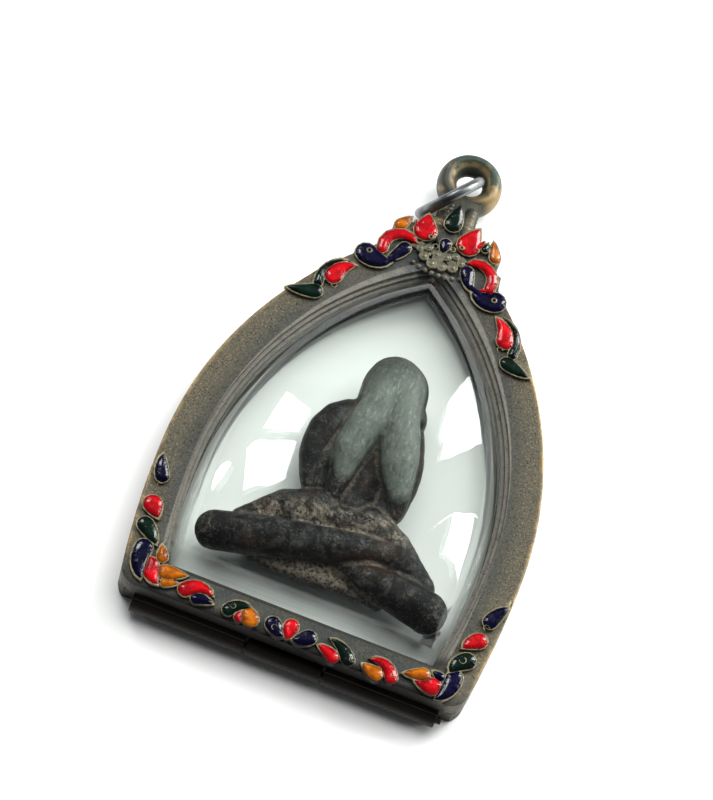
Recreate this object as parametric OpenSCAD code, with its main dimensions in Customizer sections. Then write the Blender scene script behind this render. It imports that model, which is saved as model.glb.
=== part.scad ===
// Amulet pendant: a pointed-arch hinged case of enamelled brass, shut over a clear domed window,
// with a seated figure that covers its face lying in the clear back, and a jump ring in the eye on top.
// It lies on its back. X runs across, Y up towards the eye, Z out of the front face.

/* [Case outline] */
// Half width of the front face at its widest place
half_w = 26.5; // [25.5:0.25:28.5]
// How far the front face draws in at each side, from its widest place to its bottom edge
foot_in = 2; // [1.25:0.25:3]
// Height of the widest place above the bottom edge
widest_y = 22; // [19:0.5:25]
// Height of the outline's point above the bottom edge
apex_y = 69.5; // [67:0.5:73]
// Radius of the rounded bottom corners
corner_r = 2.8; // [1.6:0.1:3.2]
// Radius of the back half's rounded bottom corners
back_corner_r = 3.6; // [2:0.1:4]
// Width of the flat rim at the widest place
rim_w = 4.7; // [4.3:0.1:5.2]
// Width of the flat rim along the bottom edge
rim_foot = 4.3; // [4:0.1:4.8]
// Width of the flat rim beside the bottom corners
rim_corner = 5.4; // [5:0.1:6]
// Height of the rim's metal at its point
rim_point = 7.2; // [6.2:0.1:8.4]

/* [Case depth] */
// Thickness of the back half
back_h = 2.9; // [2.6:0.1:3.4]
// Thickness of the front half
front_h = 4.2; // [3.9:0.1:5]
// Gap between the two halves when the case is shut
seam_gap = 0.15; // [0.1:0.05:0.3]
// Width of each step inside the window's edge
step_w = 0.5; // [0.3:0.05:0.7]
// Depth of each step inside the window's edge
step_h = 0.75; // [0.5:0.05:0.9]
// Width of the lip that holds the back window
back_lip_w = 1.6; // [1.2:0.1:2]
// Thickness of the lip that holds the back window
back_lip_h = 0.7; // [0.5:0.1:1]

/* [Clear parts] */
// Clearance round the clear parts
clear_gap = 0.12; // [0.08:0.01:0.2]
// Wall of the dome
dome_wall = 1.1; // [0.9:0.1:1.4]
// Height of the dome above the front face
dome_rise = 8; // [7.4:0.2:10]
// Height of the dome's middle above the bottom edge
dome_mid_y = 28; // [25:0.5:31]
// Thickness of the dome's flange
flange_h = 1.2; // [0.9:0.1:1.4]
// Reach of the flange under the window's edge
flange_w = 1.7; // [1.2:0.1:2]
// Thickness of the back window's edge
window_h = 1.5; // [1.2:0.1:1.8]
// Height of the clear bed above the seam
bed_h = 1; // [0.6:0.1:1.4]
// Floor left under the figure in the clear bed
bed_floor = 1.3; // [1:0.1:1.6]

/* [Crest and eye] */
// Reach of the crest ornament from the centre line
crest_size = 10; // [9:0.25:11]
// Height of the raised cell walls above the rim
cell_h = 0.55; // [0.4:0.05:0.8]
// Thickness of the raised cell walls
cell_wall = 0.24; // [0.18:0.02:0.32]
// Clearance between the enamel and its cell
enamel_gap = 0.05; // [0.03:0.01:0.08]
// Radius of a plain cell's round end
leaf_r = 1; // [0.9:0.02:1.08]
// Half width of the neck under the eye
neck_half = 3; // [2.6:0.1:3.4]
// Height of the eye's middle above the outline's point
eye_rise = 8.7; // [8.4:0.1:9.6]
// Height of the eye's middle above the floor
eye_z = 4.5; // [4.3:0.1:4.8]
// Radius of the eye's hole
eye_hole_r = 1.9; // [1.8:0.05:2]
// Outer radius of the eye
eye_r = 4.72; // [4.5:0.02:5]
// Thickness of the eye
eye_h = 4.4; // [3.8:0.1:4.6]

/* [Jump ring] */
// Radius of the ring's wire
wire_r = 0.78; // [0.65:0.01:0.85]
// Radius of the ring at the middle of its wire
ring_r = 4.8; // [4.75:0.05:4.95]
// Direction in which the ring lies from the eye, in degrees
ring_turn = -127; // [-130:1:-125]
// Lean of the ring from upright, in degrees
ring_lean = 20.5; // [19:0.5:21.5]
// Distance of the ring's middle from the plane through the eye's middle
ring_side = 0.4; // [0.36:0.02:0.46]

/* [Hinge] */
// Radius of the hinge barrel
barrel_r = 1.2; // [1:0.05:1.25]
// Height of the hinge's middle below the bottom edge
barrel_drop = 0.7; // [0.5:0.05:0.9]
// Radius of the hinge pin
pin_r = 0.5; // [0.4:0.05:0.6]
// Running clearance round the pin
pin_gap = 0.05; // [0.03:0.01:0.08]
// Half width of the middle knuckle
middle_half = 5.4; // [4.5:0.1:8]
// Gap between neighbouring knuckles
knuckle_gap = 0.3; // [0.2:0.05:0.5]
// Half width of the whole barrel
barrel_half = 22; // [20.5:0.25:22.5]
// Length of the pin that stands out at the right
pin_end = 0.8; // [0.4:0.1:1.2]

/* [Figure] */
// Distance from the figure's knees to the case's widest edge
figure_side = 8.6; // [8.5:0.1:10]
// Distance from the top of the figure's head to the outline's point
head_room = 22.3; // [21:0.1:25]
// Height of the figure's base above the bottom edge
figure_y = 9.6; // [9.4:0.1:11]
// Depth of the figure from its back to its hands
figure_deep = 10.6; // [9.6:0.1:10.8]

/* [Hidden] */

arc_fn = 240;                                   // segments of a drawn circle
tiny = 0.01;

// levels, from the floor up
front_z = back_h + seam_gap;                    // underside of the front half
face_z = front_z + front_h;                     // front face
crest_z = front_z + front_h / 3;                // underside of what stands out round the crest
flange_z = front_z + clear_gap;
flange_top = flange_z + flange_h;
bed_top = back_h + bed_h;
bed_bottom = back_lip_h + bed_floor;            // where the figure lies
hinge_z = back_h + seam_gap / 2;
barrel_room = barrel_r + 0.35;                  // free round the hinge's middle

foot_half_w = half_w - foot_in;
figure_half_w = half_w - figure_side;
figure_tall = apex_y - head_room - figure_y;

// an outline is [half width, height of its point, half width at its foot, height of its foot]
case_line = [half_w, apex_y, foot_half_w, 0];
window_line = [half_w - rim_w, apex_y - rim_point, edge_x(case_line, rim_foot) - rim_corner, rim_foot];
ledge_line = inset(window_line, 2 * step_w);
dome_line = inset(ledge_line, 0.25);
flange_line = inset(ledge_line, -flange_w);
bed_line = inset(dome_line, dome_wall + clear_gap);

eye_y = apex_y + eye_rise;
low_y = -(barrel_drop + barrel_r);              // lowest and highest reach along Y
high_y = eye_y + eye_r;
mid_y = (low_y + high_y) / 2;

// the colours, as [name, red, green, blue] shares
brass = [0.47, 0.43, 0.33];
clear_tint = [0.86, 0.9, 0.88, 0.35];
enamel_tint = ["red", [0.8, 0.05, 0.08], "blue", [0.1, 0.1, 0.45],
               "green", [0.04, 0.25, 0.17], "orange", [0.92, 0.55, 0.1]];

// One enamelled cell a row: a round end drawn out along a bent line into a point.
// place: zone "foot" in percent of foot_half_w and rim_foot, "left" and "right" in percent of apex_y
// and, from the outer edge inwards, of rim_w, and "crest" in percent of crest_size from the outline's point.
// heading and bend are degrees, length and radius are shares of leaf_r, and full says how late it narrows.
// columns: zone, u, v, heading, length, radius, bend, full, colour
CELLS = [
    ["crest", -35, -25, 97, 2.6, 1.6, 0, 1.2, "red"],
    ["crest", 30, -23, 82, 3.1, 1.6, -10, 1.2, "red"],
    ["crest", -1.5, 0, 88, 3.3, 1.15, 0, 1.6, "green"],
    ["crest", -1, -34, -92, 1.7, 0.72, 0, 1.6, "blue"],
    ["crest", -83, -77, 105, 6.8, 0.72, -145, 5, "red"],
    ["crest", 80, -78, 75, 6.6, 0.68, 145, 5, "red"],
    ["crest", -71, -31, 58, 2.0, 0.75, 0, 1.5, "orange"],
    ["crest", 72, -28, 112, 2.6, 0.7, 0, 1.5, "orange"],
    ["crest", 54, -20, 84, 1.0, 0.42, 0, 1.6, "green"],
    ["crest", -101, -94, -25, 3.8, 1.5, 50, 1.8, "blue"],
    ["crest", 94, -94, 205, 3.6, 1.5, -50, 1.8, "blue"],
    ["crest", -53, -64, -110, 3.2, 0.82, -30, 2, "blue"],
    ["crest", 42, -65, -74, 3.0, 0.88, 25, 2, "blue"],
    ["left", 78.8, 57, 80, 3.8, 1.15, -60, 1.5, "red"],
    ["left", 74, 70, 200, 3.9, 1.0, -12, 1.5, "green"],
    ["left", 76, 50, 100, 6.2, 0.55, -78, 3, "green"],
    ["right", 78.8, 68, 100, 3.9, 1.15, 55, 1.5, "red"],
    ["right", 74.2, 84, -20, 3.5, 0.95, 12, 1.5, "green"],
    ["right", 76.4, 58, 80, 6.2, 0.55, 78, 3, "green"],
    ["left", 23.3, 40, 120, 3.3, 0.88, -25, 2, "blue"],
    ["left", 17, 40, -50, 2.1, 1.25, 0, 1.5, "red"],
    ["left", 12.4, 36, -35, 3.2, 1.05, -15, 1.8, "green"],
    ["right", 19.4, 42, 70, 3.4, 0.92, -20, 2, "blue"],
    ["right", 14.8, 47, -150, 2.5, 1.05, 30, 1.8, "red"],
    ["right", 9.9, 52, -150, 3.0, 1.12, 50, 2, "green"],
    ["foot", -94, 126, -100, 4.8, 1.12, 50, 2.4, "blue"],
    ["foot", -87, 77, -75, 3.0, 1.1, 50, 2, "red"],
    ["foot", -82.5, 116, 110, 1.7, 0.68, 0, 1.5, "orange"],
    ["foot", -78, 74, 5, 2.9, 0.92, 12, 1.5, "orange"],
    ["foot", -76, 38, 15, 1.7, 0.52, 10, 1.5, "orange"],
    ["foot", -64, 42, 55, 4.2, 0.95, -95, 1.8, "red"],
    ["foot", -56.5, 26, 20, 2.2, 0.72, -35, 1.8, "blue"],
    ["foot", -38, 30, 65, 3.3, 0.78, -75, 1.8, "green"],
    ["foot", -25, 28, 120, 1.9, 1.1, 20, 1.5, "orange"],
    ["foot", -31, 19, 80, 1.0, 0.6, 0, 1.5, "red"],
    ["foot", -2.5, 56, -90, 2.0, 0.92, 0, 2, "red"],
    ["foot", -12.5, 40, -45, 2.3, 1.0, 30, 2, "blue"],
    ["foot", 8.5, 40, -135, 2.3, 1.0, -30, 2, "blue"],
    ["foot", 24.5, 8, 145, 2.5, 0.8, 30, 1.8, "red"],
    ["foot", 33, 17, 122, 3.8, 0.82, 50, 1.8, "green"],
    ["foot", 50, 8, 170, 2.2, 0.9, -15, 1.8, "orange"],
    ["foot", 58.5, 15, 110, 4.2, 0.78, 95, 1.8, "red"],
    ["foot", 74.5, 65, -157, 2.7, 0.8, -8, 1.6, "orange"],
    ["foot", 91, 93, -85, 4.4, 1.05, -50, 2.4, "blue"],
    ["foot", 81.5, 37, 185, 2.8, 1.12, -20, 1.6, "red"],
    ["foot", 83.5, 76, 160, 1.2, 0.55, 0, 1.5, "blue"],
];

// Bare relief of the rosette under the middle cell, from side to middle: u, v, heading, length, radius, height
PETALS = [
    [-33, -50, 200, 1.5, 0.7, 0.35], [27, -50, -20, 1.5, 0.7, 0.35],
    [-20, -54, -125, 1.9, 0.85, 0.5], [13, -54, -55, 1.9, 0.85, 0.5],
    [-4, -58, -90, 2.2, 0.9, 0.7],
];

// radius of an outline's upper and lower side arcs
function upper_r(line) = (pow(line[1] - widest_y, 2) + pow(line[0], 2)) / (2 * line[0]);
function lower_r(line) =
    let (d = line[0] - line[2], h = widest_y - line[3]) (h * h + d * d) / (2 * d);

// half width of an outline at a height
function edge_x(line, y) =
    let (r = y > widest_y ? upper_r(line) : lower_r(line))
    sqrt(max(0, r * r - pow(y - widest_y, 2))) - (r - line[0]);

// an outline moved inwards by d all round
function inset(line, d) =
    let (up = upper_r(line), low = lower_r(line), foot = line[3] + d)
    [line[0] - d,
     widest_y + sqrt(pow(up - d, 2) - pow(up - line[0], 2)),
     sqrt(pow(low - d, 2) - pow(widest_y - foot, 2)) - (low - line[0]),
     foot];

// what two circles share between two heights
module lens(half, radius, low, high) {
    intersection() {
        translate([radius - half, widest_y]) circle(radius, $fn = arc_fn);
        translate([half - radius, widest_y]) circle(radius, $fn = arc_fn);
        translate([-2 * half, low]) square([4 * half, high - low]);
    }
}

// an outline as a face of true arcs
module outline(line) {
    lens(line[0], upper_r(line), widest_y, line[1] + 1);
    lens(line[0], lower_r(line), line[3], widest_y);
}

// the case's own face, its bottom corners rounded to radius r
module case_face(r) {
    corner_x = edge_x(case_line, r) - r;
    difference() {
        outline(case_line);
        for (side = [-1, 1])
            translate([side * corner_x, r])
                difference() {
                    translate([side > 0 ? 0 : -2 * r, -2 * r]) square(2 * r);
                    circle(r + tiny, $fn = arc_fn);
                }
    }
}

module slab(line, low, high) {
    translate([0, 0, low]) linear_extrude(high - low) outline(line);
}

// the middle line of a bent leaf, at a share s of its length
function along(place, heading, length, bend, s) =
    abs(bend) < 1
    ? place + length * s * [cos(heading), sin(heading)]
    : let (r = length / (bend * PI / 180), turned = heading + bend * s)
      place + r * [sin(turned) - sin(heading), cos(heading) - cos(turned)];

// the leaf's edge: half a circle at its round end, then both sides to its point
function leaf(place, heading, length, radius, bend, full, grow = 0, steps = 6) =
    let (reach = length + grow,
         half = [for (i = [0 : steps]) radius * pow(1 - pow(i / steps, full), 0.8) + grow],
         mid = [for (i = [0 : steps]) along(place, heading, reach, bend, i / steps)],
         dir = [for (i = [0 : steps]) heading + bend * i / steps])
    concat(
        [for (a = [90 : 30 : 270]) place + (radius + grow) * [cos(heading + a), sin(heading + a)]],
        [for (i = [1 : steps - 1]) mid[i] + half[i] * [sin(dir[i]), -cos(dir[i])]],
        [mid[steps] + grow * [cos(dir[steps]), sin(dir[steps])]],
        [for (i = [steps - 1 : -1 : 1]) mid[i] + half[i] * [-sin(dir[i]), cos(dir[i])]]);

function rim_place(side, u, v) =
    let (y = u / 100 * apex_y) [side * (edge_x(case_line, y) - v / 100 * rim_w), y];
function cell_place(zone, u, v) =
    zone == "foot" ? [u / 100 * foot_half_w, v / 100 * rim_foot]
    : zone == "left" ? rim_place(-1, u, v)
    : zone == "right" ? rim_place(1, u, v)
    : [u / 100 * crest_size, apex_y + v / 100 * crest_size];
function cell_leaf(c, grow) =
    leaf(cell_place(c[0], c[1], c[2]), c[3], c[4] * leaf_r, c[5] * leaf_r, c[6], c[7], grow);

// cells listed earlier that come near cell i
function near_before(i) =
    let (at = cell_place(CELLS[i][0], CELLS[i][1], CELLS[i][2]))
    [for (j = [0 : 1 : i - 1])
        let (other = cell_place(CELLS[j][0], CELLS[j][1], CELLS[j][2]))
        if (norm(at - other) < (CELLS[i][4] + CELLS[i][5] + CELLS[j][4] + CELLS[j][5]) * leaf_r) j];

// the hollow of cell i, or with a gap the enamel in it
module cell_hollow(i, gap) {
    before = near_before(i);
    difference() {
        polygon(cell_leaf(CELLS[i], -gap));
        for (j = before) polygon(cell_leaf(CELLS[j], cell_wall + gap));
    }
}

module enamel(name) {
    tint = enamel_tint[search([name], enamel_tint)[0] + 1];
    color(tint)
        translate([0, 0, face_z + enamel_gap])
            for (i = [0 : len(CELLS) - 1])
                if (CELLS[i][8] == name)
                    linear_extrude(cell_h - 2 * enamel_gap) cell_hollow(i, enamel_gap);
}

// raised walls of the cells, still filled
module cell_bosses() {
    for (c = CELLS) {
        low = c[0] == "crest" ? crest_z : face_z - step_h / 2;
        translate([0, 0, low]) linear_extrude(face_z + cell_h - low) polygon(cell_leaf(c, cell_wall));
    }
}

module rosette() {
    for (p = PETALS)
        translate([0, 0, face_z - step_h])
            linear_extrude(step_h + p[5])
                polygon(leaf(cell_place("crest", p[0], p[1]), p[2], p[3] * leaf_r, p[4] * leaf_r, 0, 1.6));
}

// right half of the crest's plate and of the neck above it: shares of crest_size from the outline's point
CREST_SIDE = [[0.34, -0.82], [0.7, -0.73], [0.94, -0.8], [0.9, -0.5], [0.66, -0.4], [0.7, -0.2],
              [0.44, -0.14], [0.34, 0.06]];

function mirrored(half) =
    concat(half, [for (i = [len(half) - 1 : -1 : 0]) [-half[i][0], half[i][1]]]);

// plate under the crest, covering the window's point, and the neck up into the eye
module crest_plate() {
    low = crest_z;
    translate([0, apex_y, low])
        linear_extrude(face_z - 0.1 - low)
            polygon(mirrored([for (p = CREST_SIDE) p * crest_size]));
    translate([0, 0, front_z])
        linear_extrude(front_h - 0.5)
            polygon(mirrored([[0.5 * crest_size, apex_y - 0.45 * crest_size], [neck_half, apex_y + 0.5],
                              [neck_half * 0.9, eye_y - 0.75 * eye_r]]));
}

// right half of the eye's section above its middle plane: a nose round the hole that opens like a bell,
// a crown and the outside; shares of the wall and of half the thickness
EYE_SIDE = [[0, 0.1], [0.3, 0.68], [0.41, 0.89], [0.57, 1], [0.79, 0.89], [0.94, 0.55], [1, 0.18]];

module eye() {
    upper = [for (p = EYE_SIDE) [eye_hole_r + p[0] * (eye_r - eye_hole_r), p[1] * eye_h / 2]];
    translate([0, eye_y, eye_z])
        rotate_extrude($fn = 96)
            polygon(concat(upper, [for (i = [len(upper) - 1 : -1 : 0]) [upper[i][0], -upper[i][1]]]));
}

// a stretch of the hinge barrel from x = low to high, held to the case by a web above or below the seam
module knuckle(low, high, up) {
    web_h = barrel_room;
    translate([low, -barrel_drop, hinge_z]) {
        rotate([0, 90, 0]) cylinder(r = barrel_r, h = high - low, $fn = 64);
        translate([0, 0, up ? seam_gap / 2 : -web_h])
            cube([high - low, barrel_drop + rim_foot / 2, web_h - (up ? 0 : seam_gap / 2)]);
    }
}

// room cut from a half's bottom wall beside the barrel
module barrel_groove(low, high) {
    translate([-half_w, -barrel_drop - barrel_room, low])
        cube([2 * half_w, 2 * barrel_room, high - low]);
}

module pin_bore() {
    translate([-half_w, -barrel_drop, hinge_z])
        rotate([0, 90, 0]) cylinder(r = pin_r + pin_gap, h = 2 * half_w, $fn = 48);
}

module front_frame() {
    color(brass)
        translate([0, -mid_y, 0])
            difference() {
                union() {
                    difference() {
                        translate([0, 0, front_z]) linear_extrude(front_h) case_face(corner_r);
                        slab(window_line, face_z - step_h, face_z + 1);
                        slab(inset(window_line, step_w), face_z - 2 * step_h, face_z - step_h + tiny);
                        slab(ledge_line, front_z - 1, face_z - 2 * step_h + tiny);
                        barrel_groove(front_z - 1, hinge_z + barrel_room);
                    }
                    crest_plate();
                    eye();
                    rosette();
                    cell_bosses();
                    knuckle(-barrel_half, -middle_half - knuckle_gap, true);
                    knuckle(middle_half + knuckle_gap, barrel_half, true);
                }
                slab(flange_line, front_z - 1, flange_top + clear_gap);
                translate([0, eye_y, eye_z - eye_h]) cylinder(r = eye_hole_r - tiny, h = 2 * eye_h, $fn = 96);
                for (i = [0 : len(CELLS) - 1])
                    translate([0, 0, face_z]) linear_extrude(cell_h + 1) cell_hollow(i, 0);
                pin_bore();
            }
}

module back_frame() {
    color(brass)
        translate([0, -mid_y, 0])
            difference() {
                union() {
                    difference() {
                        linear_extrude(back_h) case_face(back_corner_r);
                        barrel_groove(-1, back_h + 1);
                    }
                    knuckle(-middle_half, middle_half, false);
                }
                slab(inset(flange_line, back_lip_w), -1, back_lip_h + tiny);
                slab(flange_line, back_lip_h, back_h + 1);
                pin_bore();
            }
}

module hinge_pin() {
    color("dimgray")
        translate([-barrel_half, -barrel_drop - mid_y, hinge_z])
            rotate([0, 90, 0]) cylinder(r = pin_r, h = 2 * barrel_half + pin_end, $fn = 48);
}

module jump_ring() {
    gap_to_floor = 0.08;
    reach = ring_r - 0.9;
    ring_z = ring_r * cos(ring_lean) + wire_r + gap_to_floor;
    color("silver")
        translate([0, eye_y - mid_y, ring_z])
            rotate([0, 0, ring_turn])
                translate([reach, ring_side, 0])
                    rotate([90 - ring_lean, 0, 0])
                        rotate_extrude($fn = 96) translate([ring_r, 0]) circle(wire_r, $fn = 32);
}

// points round an outline, from its left foot corner up over its point and down
function ring_points(line, steps) =
    concat(
        [for (i = [0 : steps]) let (y = line[3] + (line[1] - line[3]) * sin(90 * i / steps))
            [-edge_x(line, y), y]],
        [for (i = [steps - 1 : -1 : 0]) let (y = line[3] + (line[1] - line[3]) * sin(90 * i / steps))
            [edge_x(line, y), y]],
        [for (i = [1 : 5]) [line[2] * (1 - i / 3), line[3]]]);

// closed skin through rings of points that all have the same count, ending in two tips
module loft(rings, first_tip, last_tip) {
    n = len(rings[0]);
    last = len(rings) - 1;
    tips = n * len(rings);
    polyhedron(
        points = concat([for (ring = rings, p = ring) p], [first_tip, last_tip]),
        faces = concat(
            [for (i = [0 : n - 1]) [tips, i, (i + 1) % n]],
            [for (k = [0 : last - 1], i = [0 : n - 1], half = [0, 1])
                let (a = k * n + i, b = k * n + (i + 1) % n)
                half == 0 ? [a, a + n, b] : [b, a + n, b + n]],
            [for (i = [0 : n - 1]) [tips + 1, last * n + (i + 1) % n, last * n + i]]));
}

// one ring of the dome: an outline drawn in towards the dome's middle and lifted
function dome_ring(line, low, rise, angle, steps) =
    let (share = pow(cos(angle), 0.62), z = low + rise * pow(sin(angle), 0.8))
    [for (p = ring_points(line, steps)) [p[0] * share, dome_mid_y + (p[1] - dome_mid_y) * share, z]];

module dome() {
    steps = 26;
    angles = [0, 7, 15, 25, 35, 46, 57, 68, 79];
    top = face_z + dome_rise;
    inner_line = inset(dome_line, dome_wall);
    flat = function (line, z) [for (p = ring_points(line, steps)) [p[0], p[1], z]];
    color(clear_tint)
        translate([0, -mid_y, 0])
            loft(concat(
                [for (i = [len(angles) - 1 : -1 : 0])
                    dome_ring(inner_line, flange_top, top - dome_wall - flange_top, angles[i], steps)],
                [flat(inner_line, flange_z), flat(inset(flange_line, clear_gap), flange_z),
                 flat(inset(flange_line, clear_gap), flange_top)],
                [for (a = angles) dome_ring(dome_line, flange_top, top - flange_top, a, steps)]),
                 [0, dome_mid_y, top - dome_wall], [0, dome_mid_y, top]);
}

// the figure's outline as shares of its half width and height, for the bed cut round it
FIGURE_LINE = [[-1, 0.05], [-0.9, -0.02], [0.88, -0.02], [1.02, 0.05], [1.02, 0.16], [0.8, 0.24], [0.64, 0.26],
               [0.47, 0.34], [0.53, 0.4], [0.55, 0.5], [0.53, 0.62], [0.42, 0.79], [0.26, 0.93], [0.02, 1],
               [-0.2, 0.95], [-0.4, 0.82], [-0.5, 0.7], [-0.53, 0.6], [-0.5, 0.46], [-0.44, 0.34],
               [-0.66, 0.27], [-0.85, 0.21], [-0.97, 0.13]];

module back_window() {
    color(clear_tint)
        translate([0, -mid_y, 0])
            difference() {
                union() {
                    slab(inset(flange_line, clear_gap), back_lip_h + clear_gap, back_lip_h + window_h);
                    slab(bed_line, back_lip_h + window_h - tiny, bed_top);
                }
                translate([0, figure_y, bed_bottom])
                    linear_extrude(bed_top)
                        polygon([for (p = FIGURE_LINE)
                            [p[0] * (figure_half_w + 0.5), p[1] * (figure_tall + 0.4)]]);
            }
}

// a smooth limb between balls; each ball is [x, y, z, radius] with x and y as shares of the
// figure's half width and height, and z and radius as shares of its depth
module limb(balls) {
    hull()
        for (b = balls)
            translate([b[0] * figure_half_w, b[1] * figure_tall, b[2] * figure_deep])
                sphere(b[3] * figure_deep, $fn = 18);
}

LIMBS = [
    // base pad and thighs
    [[-0.737, 0.08, 0.151, 0.16], [0.721, 0.064, 0.151, 0.17], [0, 0.13, 0.16, 0.226]],
    [[-0.682, 0.157, 0.283, 0.189], [-0.279, 0.255, 0.33, 0.321]],
    [[0.838, 0.101, 0.358, 0.264], [0.296, 0.274, 0.377, 0.311]],
    // shins
    [[0.855, 0.069, 0.425, 0.274], [0.201, 0.082, 0.368, 0.245], [-0.38, 0.056, 0.283, 0.179]],
    [[-0.838, 0.09, 0.396, 0.255], [-0.302, 0.144, 0.509, 0.245]],
    [[-0.302, 0.144, 0.509, 0.245], [0.117, 0.191, 0.575, 0.226], [0.413, 0.218, 0.519, 0.189]],
    // belly, shoulders, head
    [[-0.067, 0.319, 0.358, 0.358], [0.145, 0.319, 0.358, 0.368], [0.022, 0.553, 0.396, 0.453]],
    [[-0.302, 0.622, 0.434, 0.255], [0.274, 0.638, 0.434, 0.274]],
    [[-0.061, 0.782, 0.491, 0.368], [0.106, 0.777, 0.491, 0.368], [0.022, 0.915, 0.434, 0.245]],
    // upper arms down to the elbows
    [[-0.335, 0.633, 0.434, 0.245], [-0.369, 0.559, 0.415, 0.217], [-0.296, 0.41, 0.396, 0.198]],
    [[0.274, 0.67, 0.443, 0.245], [0.318, 0.559, 0.443, 0.226], [0.33, 0.404, 0.415, 0.208]],
    // forearms up to the hands that cover the face
    [[-0.162, 0.388, 0.604, 0.17], [-0.101, 0.654, 0.736, 0.208]],
    [[0.302, 0.404, 0.585, 0.198], [0.145, 0.654, 0.736, 0.236]],
    [[-0.101, 0.654, 0.736, 0.208], [0.145, 0.654, 0.736, 0.236], [0.028, 0.819, 0.679, 0.264]],
];

module figure() {
    color([0.12, 0.12, 0.12])
        translate([0, figure_y - mid_y, bed_bottom + clear_gap])
            intersection() {
                union() for (balls = LIMBS) limb(balls);
                translate([-2 * figure_half_w, -figure_tall, 0])
                    cube([4 * figure_half_w, 3 * figure_tall, 2 * figure_deep]);
            }
}

module moved_enamel(name) {
    translate([0, -mid_y, 0]) enamel(name);
}

front_frame();
dome();
moved_enamel("red");  // enamel_red
moved_enamel("blue");  // enamel_blue
moved_enamel("green");  // enamel_green
moved_enamel("orange");  // enamel_orange
jump_ring();
hinge_pin();
back_frame();
back_window();
figure();
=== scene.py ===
import math

import bmesh
import bpy
from mathutils import Matrix, Vector, kdtree, noise


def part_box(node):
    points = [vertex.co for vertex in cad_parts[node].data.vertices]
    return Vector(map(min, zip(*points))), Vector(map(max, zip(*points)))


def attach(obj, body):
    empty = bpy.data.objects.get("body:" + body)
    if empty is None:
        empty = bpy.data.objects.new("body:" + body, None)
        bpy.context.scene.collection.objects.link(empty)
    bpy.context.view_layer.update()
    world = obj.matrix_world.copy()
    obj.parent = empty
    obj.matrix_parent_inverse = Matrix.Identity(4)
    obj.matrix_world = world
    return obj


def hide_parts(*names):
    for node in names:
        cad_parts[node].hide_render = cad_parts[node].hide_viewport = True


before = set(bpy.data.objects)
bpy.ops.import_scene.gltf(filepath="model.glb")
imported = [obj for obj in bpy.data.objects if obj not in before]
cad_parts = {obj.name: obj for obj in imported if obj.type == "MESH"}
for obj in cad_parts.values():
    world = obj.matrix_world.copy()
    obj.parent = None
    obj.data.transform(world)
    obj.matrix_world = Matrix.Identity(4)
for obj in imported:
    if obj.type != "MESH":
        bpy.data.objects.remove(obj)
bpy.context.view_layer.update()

print("frame loaded")

mm = 0.001
scene = bpy.context.scene

# the case in mm, as in the part: heights run along its face from the foot, and z from the floor
midY = 40.51         # the part's y is the height along the face less this
widestY = 22.0
eyeY = 78.2
faceZ = 7.25
wallZ = 7.8          # tops of the enamel cells' walls
bezelInset = 4.55    # how far in from the outline the flat face ends
caseHalf = 26.5
casePoint = 69.5
caseFootHalf = 24.5


def facePoint(x, y, z):  # from millimetres on the case's face to the shared frame
    return Vector((x, y - midY, z)) * mm


def arcRadius(rise, run):  # of an arc that starts upright and comes in by run over the rise
    return (rise ** 2 + run ** 2) / (2 * run)


caseUpper = arcRadius(casePoint - widestY, caseHalf)
caseLower = arcRadius(widestY, caseHalf - caseFootHalf)


# the camera, at the photograph's viewing angle
view = {"place": (0.00584, -0.22947, 0.45250), "lens": 162.0,
        "right": (0.932784, 0.328845, 0.147561),
        "up": (-0.359926, 0.828105, 0.429766),
        "back": (0.019131, -0.45399, 0.890805)}


def makeCamera():
    data = bpy.data.cameras.new("camera")
    data.lens = view["lens"]
    data.sensor_width = 36.0
    data.clip_start = 0.01
    data.clip_end = 10.0
    camera = bpy.data.objects.new("camera", data)
    scene.collection.objects.link(camera)
    turn = Matrix((view["right"], view["up"], view["back"])).transposed()
    camera.matrix_world = Matrix.Translation(view["place"]) @ turn.to_4x4()
    scene.camera = camera


makeCamera()
print("camera placed")


# shader helpers
class Sum:  # wraps a socket so that shader maths reads as Python sums
    def __init__(self, finish, socket):
        self.finish = finish
        self.socket = socket

    def join(self, kind, first, second=None):
        values = {0: first} if second is None else {0: first, 1: second}
        return self.finish.add("ShaderNodeMath", {"operation": kind}, values)

    def __add__(self, other):
        return self.join("ADD", self, other)

    def __radd__(self, other):
        return self.join("ADD", other, self)

    def __sub__(self, other):
        return self.join("SUBTRACT", self, other)

    def __rsub__(self, other):
        return self.join("SUBTRACT", other, self)

    def __mul__(self, other):
        return self.join("MULTIPLY", self, other)

    def __rmul__(self, other):
        return self.join("MULTIPLY", other, self)

    def __pow__(self, other):
        return self.join("POWER", self, other)

    def __abs__(self):
        return self.join("ABSOLUTE", self)

    def least(self, other):
        return self.join("MINIMUM", self, other)

    def most(self, other):
        return self.join("MAXIMUM", self, other)

    def root(self):
        return self.join("SQRT", self)

    def rise(self, low, high):  # 0 below low, 1 above high, smooth between
        return self.finish.add("ShaderNodeMapRange", {"interpolation_type": "SMOOTHSTEP"},
                               {"Value": self, "From Min": low, "From Max": high})

    def fall(self, low, high):
        return 1.0 - self.rise(low, high)

    def span(self, low, high, soft):  # 1 between low and high
        return self.rise(low - soft, low + soft) * self.fall(high - soft, high + soft)


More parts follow.
